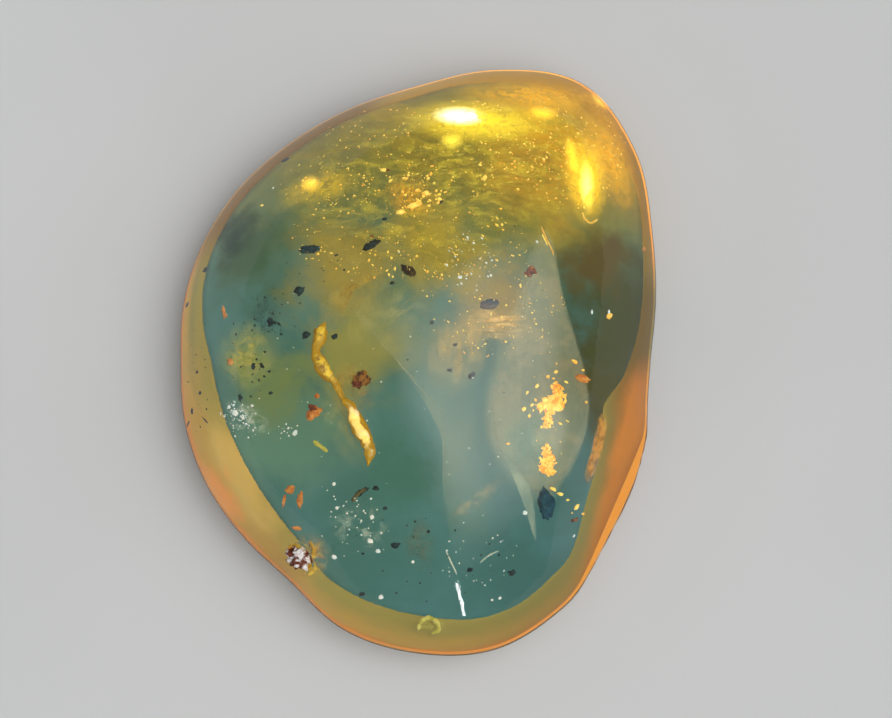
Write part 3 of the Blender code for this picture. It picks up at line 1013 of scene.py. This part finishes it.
def makeVeil(name, facts, seed):
    facts = {**veilDefaults, **facts}
    outline = [Vector(spot) for spot in facts["outline"]]
    ringCount, steps = facts["rings"], facts["steps"]
    hub = sum(outline, Vector((0, 0, 0))) / len(outline)
    points, shares, softs = [], [], []
    for row in range(ringCount + 1):
        share = 1 - row / ringCount
        for k in range(steps if share > 0 else 1):
            at = hub.lerp(readRound(outline, k / steps), share)
            wave = facts["wave"] * noise.noise(Vector((at.x / 60, at.y / 60, seed)))
            height = None if facts["height"] is None else facts["height"] + wave
            point = throughAmber(at.x, at.y, height, facts["depth"] + wave)
            while point is None:  # past the silhouette, so it is drawn in
                at = at.lerp(hub, 0.02)
                point = throughAmber(at.x, at.y, height, facts["depth"] + wave)
            points.append(point)
            shares.append(share)
            softs.append(max(0.02, at.z))
    faces = []
    last = (ringCount - 1) * steps
    for row in range(ringCount - 1):
        faces += quadStrip(row * steps, (row + 1) * steps, steps)
    for k in range(steps):
        faces.append((last + k, last + (k + 1) % steps, len(points) - 1))
    obj = meshObject(name, points, faces)
    obj.visible_shadow = False  # thin haze shades nothing under it
    layer = obj.data.uv_layers.new(name="UVMap")
    for loop in obj.data.loops:
        layer.data[loop.index].uv = (shares[loop.vertex_index], softs[loop.vertex_index])

    def alpha(tree, place):
        share, soft, _ = partsOf(tree, put(tree, "ShaderNodeTexCoord").outputs["UV"])
        inside = sums(tree, "SUBTRACT", 1.0, share)
        fade = ramp(tree, sums(tree, "DIVIDE", inside, soft), 0.0, 1.0)
        lie = (facts["stretch"], facts["turn"], facts["swirl"])
        cloudy = noiseAt(tree, place, facts["scale"], 4.5, 0.62, *lie)
        thick = ramp(tree, cloudy, facts["thin"], facts["dense"])
        strong = sums(tree, "MULTIPLY_ADD", thick, facts["strength"] - facts["least"], facts["least"])
        return times(tree, fade, strong)

    colour = mottled(*facts["colour"], facts["scale"] * 2)
    material = surfaceMaterial(name + "_haze", colour, roughness=0.7, alpha=alpha, glow=facts["glow"])
    return finishPiece(obj, material)


def haze(at, reach, height, dark, light, lean=0, **more):  # a soft oval of haze round a pixel
    return {
        "outline": oval(at, reach, 0.95, lean), "height": height, "colour": (dark, light),
        "rings": 14, "steps": 48, "scale": 1.6, "thin": 0.38, "dense": 0.62, "least": 0.0, **more,
    }


veils = {
    "sail_veil_and_reflection": {  # milky, like a sail, behind the gold flakes; partly haze and partly a painted reflection
        "outline": (
            (545, 226, 0.1), (566, 300, 0.1), (588, 380, 0.07), (588, 430, 0.07), (570, 476, 0.12),
            (543, 512, 0.25), (508, 482, 0.25), (482, 436, 0.26), (484, 370, 0.4), (508, 290, 0.6),
        ),
        "height": 2.6, "scale": 0.5, "stretch": (1.8, 0.4, 1.0), "thin": 0.2, "dense": 0.8,
        "least": 0.48, "strength": 0.74, "colour": ((0.25, 0.32, 0.29), (0.36, 0.39, 0.33)),
    },
    "sail_foot": haze(
        (530, 446), (50, 58), 2.75, (0.13, 0.28, 0.31), (0.21, 0.36, 0.38),
        scale=0.6, thin=0.2, dense=0.8, least=0.45, strength=0.75,
    ),
    "sail_tail": {
        "outline": (
            (505, 458, 0.8), (520, 470, 0.5), (534, 498, 0.3), (537, 545, 0.3), (528, 520, 0.5),
            (516, 486, 0.5),
        ),
        "height": 2.8, "rings": 12, "steps": 48, "least": 0.3, "strength": 0.5,
        "colour": ((0.36, 0.54, 0.56), (0.46, 0.62, 0.62)),
    },
    "band_veil_and_reflection": {  # its left edge runs down the middle of the piece; partly haze and partly a painted reflection
        "outline": (
            (343, 292, 0.3), (385, 345, 0.12), (420, 395, 0.1), (442, 445, 0.12), (444, 510, 0.3),
            (462, 585, 0.8), (500, 560, 0.9), (500, 470, 0.9), (490, 380, 0.9), (470, 300, 0.9),
            (405, 262, 0.9),
        ),
        "height": 3.0, "scale": 0.3, "thin": 0.2, "dense": 0.9, "least": 0.16, "strength": 0.4,
        "colour": ((0.17, 0.26, 0.25), (0.24, 0.32, 0.28)),
    },
    "middle_haze": haze(
        (370, 300), (90, 75), 3.4, (0.25, 0.3, 0.12), (0.38, 0.4, 0.18), lean=25,
        wave=0.4, scale=0.6, swirl=1.4, least=0.1, strength=0.48,
    ),
    "tan_rays": haze(
        (460, 345), (38, 58), 3.3, (0.34, 0.29, 0.11), (0.56, 0.44, 0.15), lean=25,
        scale=0.8, stretch=(2.2, 0.4, 1.0), turn=-0.45, least=0.28, strength=0.75,
    ),
    "tan_smear": haze(
        (476, 500), (40, 9), 3.5, (0.3, 0.28, 0.16), (0.42, 0.38, 0.22), lean=-38, strength=0.5
    ),
    "moss_haze": haze(  # the yellow-green patch at the left
        (247, 355), (36, 42), 3.2, (0.24, 0.3, 0.06), (0.46, 0.46, 0.11), lean=20,
        wave=0.3, scale=1.2, swirl=1.2, thin=0.32, dense=0.66, least=0.12, strength=0.78,
    ),
    "dark_smudge": haze(
        (264, 316), (18, 32), 3.6, (0.01, 0.06, 0.085), (0.02, 0.1, 0.13), lean=-8,
        thin=0.38, dense=0.56, strength=0.85,
    ),
    "south_smudge": haze((420, 545), (20, 36), 3.2, (0.05, 0.09, 0.07), (0.1, 0.12, 0.08), strength=0.6),
    "stain_trail": {  # a brown thread of stain that leads to the top of the strip
        "outline": (
            (402, 258, 0.9), (384, 274, 0.9), (362, 284, 0.9), (344, 300, 0.9), (338, 326, 0.9),
            (318, 332, 0.9), (316, 308, 0.9), (332, 284, 0.9), (356, 270, 0.9), (386, 258, 0.9),
        ),
        "height": 3.8, "wave": 0.2, "rings": 12, "scale": 1.0, "thin": 0.3, "dense": 0.62,
        "least": 0.14, "strength": 0.7, "colour": ((0.27, 0.19, 0.02), (0.42, 0.34, 0.06)),
    },
    "strip_glow": haze(
        (344, 420), (28, 62), 3.2, (0.28, 0.34, 0.12), (0.44, 0.46, 0.18), lean=-24,
        scale=0.9, thin=0.34, dense=0.66, least=0.1, strength=0.55,
    ),
    "strip_stain": haze(
        (352, 388), (30, 34), 3.5, (0.3, 0.17, 0.02), (0.48, 0.36, 0.06), lean=-30,
        scale=1.2, least=0.1, strength=0.75,
    ),
    "west_bubble_haze": haze(
        (244, 417), (32, 16), 4.0, (0.5, 0.64, 0.64), (0.72, 0.84, 0.86), lean=25,
        scale=2.6, thin=0.44, dense=0.64, strength=0.6,
    ),
    "south_bubble_haze": haze(
        (360, 528), (38, 30), 3.8, (0.4, 0.56, 0.58), (0.62, 0.76, 0.78),
        scale=1.8, thin=0.46, dense=0.66, strength=0.4,
    ),
    "seed_streaks": haze(  # orange streaks round the seed and the top of the sail, with a faint painted glow
        (496, 322), (40, 22), 4.4, (0.62, 0.4, 0.1), (0.95, 0.7, 0.3), lean=4,
        scale=2.0, stretch=(0.35, 2.0, 1.0), thin=0.44, dense=0.64, least=0.12, strength=0.75,
        glow={"colour": (1.0, 0.62, 0.2), "strength": 0.05},
    ),
    "side_fold": {  # a brown fold along the foot of the steep flat
        "outline": (
            (604, 408, 0.5), (609, 424, 0.5), (603, 452, 0.5), (594, 478, 0.5), (587, 488, 0.6),
            (583, 478, 0.6), (590, 452, 0.5), (596, 428, 0.5),
        ),
        "height": 1.1, "rings": 10, "steps": 56, "scale": 1.2, "thin": 0.3, "dense": 0.6,
        "least": 0.45, "strength": 0.95, "colour": ((0.34, 0.16, 0.01), (0.8, 0.42, 0.06)),
    },
    "flake_glow": haze(
        (549, 415), (24, 52), 3.0, (0.6, 0.44, 0.14), (0.82, 0.62, 0.26), lean=4,
        scale=1.4, thin=0.4, dense=0.66, strength=0.22,
    ),
    "curl_haze": haze(
        (428, 627), (22, 11), 1.1, (0.44, 0.5, 0.08), (0.66, 0.68, 0.2), scale=1.8, least=0.08, strength=0.8,
    ),
    "pit_stain": haze(
        (308, 556), (26, 26), 3.2, (0.36, 0.17, 0.01), (0.62, 0.42, 0.03),
        scale=1.8, dense=0.58, least=0.1, strength=0.9,
    ),
    "gold_cloud_low": {
        "outline": (
            (222, 222, 0.6), (290, 150, 0.3), (380, 105, 0.2), (500, 82, 0.15), (590, 95, 0.15),
            (632, 170, 0.2), (645, 240, 0.4), (560, 280, 0.8), (440, 310, 0.8), (330, 290, 0.8),
            (260, 262, 0.8),
        ),
        "height": 2.2, "wave": 0.5, "scale": 0.8, "stretch": (0.7, 1.4, 1.0), "turn": -0.35, "swirl": 1.0,
        "thin": 0.36, "dense": 0.68, "least": 0.04, "strength": 0.55,
        "colour": ((0.15, 0.18, 0.03), (0.35, 0.33, 0.03)),
    },
    "gold_cloud_middle": {
        "outline": (
            (250, 205, 0.8), (300, 150, 0.5), (400, 105, 0.3), (510, 88, 0.2), (590, 105, 0.2),
            (625, 190, 0.4), (560, 250, 0.8), (450, 290, 0.8), (330, 270, 0.8),
        ),
        "height": 3.8, "wave": 0.6, "scale": 1.4, "stretch": (0.7, 1.4, 1.0), "turn": -0.4, "swirl": 0.8,
        "thin": 0.44, "dense": 0.72, "least": 0.0, "strength": 0.5,
        "colour": ((0.36, 0.35, 0.02), (0.68, 0.6, 0.04)),
        # painted light: a faint glow, standing in for light gathering in the pointed end
        "glow": {"colour": (1.0, 0.8, 0.06), "strength": 0.05},
    },
    "amber_stain": haze(  # deep amber round the largest chips of the spangle
        (412, 196), (34, 26), 4.7, (0.46, 0.22, 0.0), (0.8, 0.46, 0.01), lean=20,
        scale=2.2, least=0.14, strength=0.8,
    ),
    "gold_cloud_high": {
        "outline": (
            (340, 160, 0.9), (410, 118, 0.5), (500, 98, 0.4), (585, 100, 0.4), (612, 170, 0.5),
            (590, 215, 0.8), (500, 230, 0.9), (400, 235, 0.9),
        ),
        "height": 5.0, "wave": 0.4, "scale": 2.6, "stretch": (0.6, 1.6, 1.0), "turn": -0.3, "swirl": 0.8,
        "thin": 0.52, "dense": 0.74, "least": 0.0, "strength": 0.48,
        "colour": ((0.6, 0.54, 0.03), (0.95, 0.84, 0.12)),
        # painted light: a faint glow, standing in for light gathering in the pointed end
        "glow": {"colour": (1.0, 0.8, 0.1), "strength": 0.14},
    },
}


def paintedLightPool(at, reach, turn, colour, shine, least=0.55, most=1.0):  # painted pool of light: a glowing sheet of haze just under the skin
    return {
        "outline": oval(at, reach, 1.0, turn), "depth": 0.5, "wave": 0.05, "rings": 12, "steps": 40,
        "scale": 2.2, "swirl": 1.0, "thin": 0.3, "dense": 0.6, "least": least, "strength": most,
        "colour": (colour, colour), "glow": {"colour": colour, "strength": shine},
    }


# Painted light: glowing pools where low sun gathers in the pointed end
veils |= {
    "long_light_pool": paintedLightPool((460, 116), (32, 11), 2, (1.0, 0.97, 0.62), 2.6),
    "long_light_pool_halo": paintedLightPool((478, 121), (88, 26), 3, (1.0, 0.76, 0.03), 0.5),
    "east_light_pool": paintedLightPool((543, 113), (20, 8), 5, (1.0, 0.62, 0.03), 0.9),
    "upright_light_pool": paintedLightPool((587, 186), (9, 30), -3, (1.0, 0.9, 0.16), 1.7),
    "upright_light_pool_halo": paintedLightPool((586, 178), (26, 54), -4, (1.0, 0.62, 0.02), 0.55),
    "thin_light_pool": paintedLightPool((572, 156), (8, 26), -12, (1.0, 0.62, 0.03), 0.9),
    "corner_light_pool": paintedLightPool((602, 100), (16, 9), 40, (1.0, 0.66, 0.05), 0.9),
    "west_light_pool": paintedLightPool((311, 184), (12, 10), 0, (1.0, 0.62, 0.05), 1.5),
    "west_light_pool_halo": paintedLightPool((320, 187), (46, 20), -14, (0.85, 0.58, 0.02), 0.25, 0.1, 0.7),
    "top_light_glow": paintedLightPool((530, 96), (96, 20), 3, (1.0, 0.52, 0.0), 0.3, 0.1, 0.6),
    "east_light_glow": paintedLightPool((612, 155), (24, 80), -18, (1.0, 0.5, 0.0), 0.3, 0.1, 0.5),
    "small_light_pool": paintedLightPool((452, 141), (14, 10), 0, (0.95, 0.78, 0.06), 0.7),
}
for number, (name, facts) in enumerate(veils.items()):
    makeVeil(name, facts, number)
print("Veils hung:", len(veils))


# Threads: cracks, fibres and curls. Each is the pixels that a thin tube runs through, its height, its
# width, and its dark and its light colour.
threads = {
    "pale_curl": (
        ((418, 630), (421, 622), (429, 618), (436, 622), (438, 630), (431, 634)),
        1.3, 0.22, (0.5, 0.56, 0.08), (0.8, 0.82, 0.26),
    ),
    "short_streak": (
        ((313, 441), (320, 446), (328, 452)),
        4.0, 0.13, (0.55, 0.6, 0.1), (0.7, 0.72, 0.2),
    ),
    "gold_hair": (
        ((541, 226), (546, 238), (551, 248), (554, 256)),
        4.8, 0.08, (0.85, 0.5, 0.08), (1.0, 0.7, 0.2),
    ),
    "hook_hair": (
        ((582, 212), (585, 219), (591, 223), (598, 219)),
        4.2, 0.1, (0.95, 0.62, 0.1), (1.0, 0.8, 0.3),
    ),
    "pit_curl": (
        ((309, 541), (314, 550), (311, 560), (315, 568), (307, 576)),
        3.4, 0.2, (0.6, 0.36, 0.01), (0.9, 0.66, 0.05),
    ),
    "south_hair": (
        ((446, 551), (451, 562), (457, 575)),
        3.4, 0.06, (0.55, 0.75, 0.85), (0.75, 0.9, 0.95),
    ),
    "south_mark": (
        ((480, 563), (488, 556), (499, 551)),
        3.4, 0.08, (0.4, 0.62, 0.66), (0.6, 0.78, 0.8),
    ),
    "dark_sliver": (
        ((352, 502), (358, 494), (366, 489)),
        3.7, 0.16, (0.04, 0.035, 0.02), (0.12, 0.12, 0.05),
    ),
}


def makeThread(name, route, height, width, dark, light, seed, steps=40, sides=10):
    rings = []
    for k in range(steps + 1):
        share = k / steps
        at, way = alongRoute(route, share, 0.02)
        centre = throughAmber(at.x, at.y, height)
        across = Vector((way.y, way.x, 0)).normalized()  # picture rows run down, so +Y is turned
        radius = width / 2 * (1 + 0.5 * noise.noise(Vector((share * 9, seed, 0))))
        radius *= max(0.05, math.sin(math.pi * min(0.5, share * 3, (1 - share) * 3)))
        ring = []
        for side in range(sides):
            angle = math.tau * side / sides
            rise = Vector((0, 0, math.sin(angle) * radius))
            ring.append(centre + across * math.cos(angle) * radius + rise)
        rings.append(ring)
    points, faces = loftRings(rings)
    material = surfaceMaterial(name + "_skin", mottled(dark, light, 2.5), roughness=0.4)
    return finishPiece(meshObject(name, points, faces), material)


for number, (name, facts) in enumerate(threads.items()):
    makeThread(name, *facts, number)
print("Threads laid:", len(threads))


# Floor, light and colour
studio = {
    "floorSize": 3.0,
    "floorColour": (0.62, 0.61, 0.595),
    "skyColour": (0.95, 0.98, 1.0),
    "skyStrength": 0.34,
    "softbox": {"from": (0.46, -0.16, 0.87), "inner": 0.97, "outer": 0.7, "strength": 2.3},
    "glintLamp": {"from": (0.165, -1.16, 0.21), "width": 0.03, "height": 0.3, "power": 0.5},
    "bounces": {
        "max_bounces": 10, "transmission_bounces": 8, "transparent_max_bounces": 20, "glossy_bounces": 4,
        "diffuse_bounces": 2,
    },
}


def makeFloor():
    half = studio["floorSize"] / 2
    mesh = bpy.data.meshes.new("floor")
    corners = [(-half, -half, 0), (half, -half, 0), (half, half, 0), (-half, half, 0)]
    mesh.from_pydata(corners, [], [(0, 1, 2, 3)])
    floor = addObject("floor", mesh)
    low = tuple(0.96 * part for part in studio["floorColour"])
    clouded = mottled(low, studio["floorColour"], 0.02)
    mesh.materials.append(surfaceMaterial("pale_floor", clouded, roughness=0.7))


def setLights():
    facts = studio["glintLamp"]
    light = bpy.data.lights.new("glint_lamp", "AREA")
    light.shape = "RECTANGLE"
    light.size = facts["width"]
    light.size_y = facts["height"]
    light.energy = facts["power"]
    lamp = addObject("glint_lamp", light)
    lamp.location = facts["from"]
    lamp.rotation_euler = Vector(facts["from"]).to_track_quat("Z", "Y").to_euler()

    world = bpy.data.worlds.new("studio")
    world.use_nodes = True
    tree = world.node_tree
    sky = tree.nodes["Background"]
    sky.inputs["Color"].default_value = (*studio["skyColour"], 1.0)
    box = studio["softbox"]
    coords = put(tree, "ShaderNodeTexCoord")
    ways = {0: coords.outputs["Generated"], 1: Vector(box["from"]).normalized()}
    along = put(tree, "ShaderNodeVectorMath", ways, operation="DOT_PRODUCT")
    lit = ramp(tree, along.outputs["Value"], box["outer"], box["inner"])
    strength = sums(tree, "MULTIPLY_ADD", lit, box["strength"], studio["skyStrength"])
    tree.links.new(strength, sky.inputs["Strength"])
    bpy.context.scene.world = world


def setColour():
    bpy.context.scene.view_settings.view_transform = "Standard"
    for kind, count in studio["bounces"].items():
        setattr(bpy.context.scene.cycles, kind, count)


makeFloor()
setLights()
setColour()
print("Studio set")
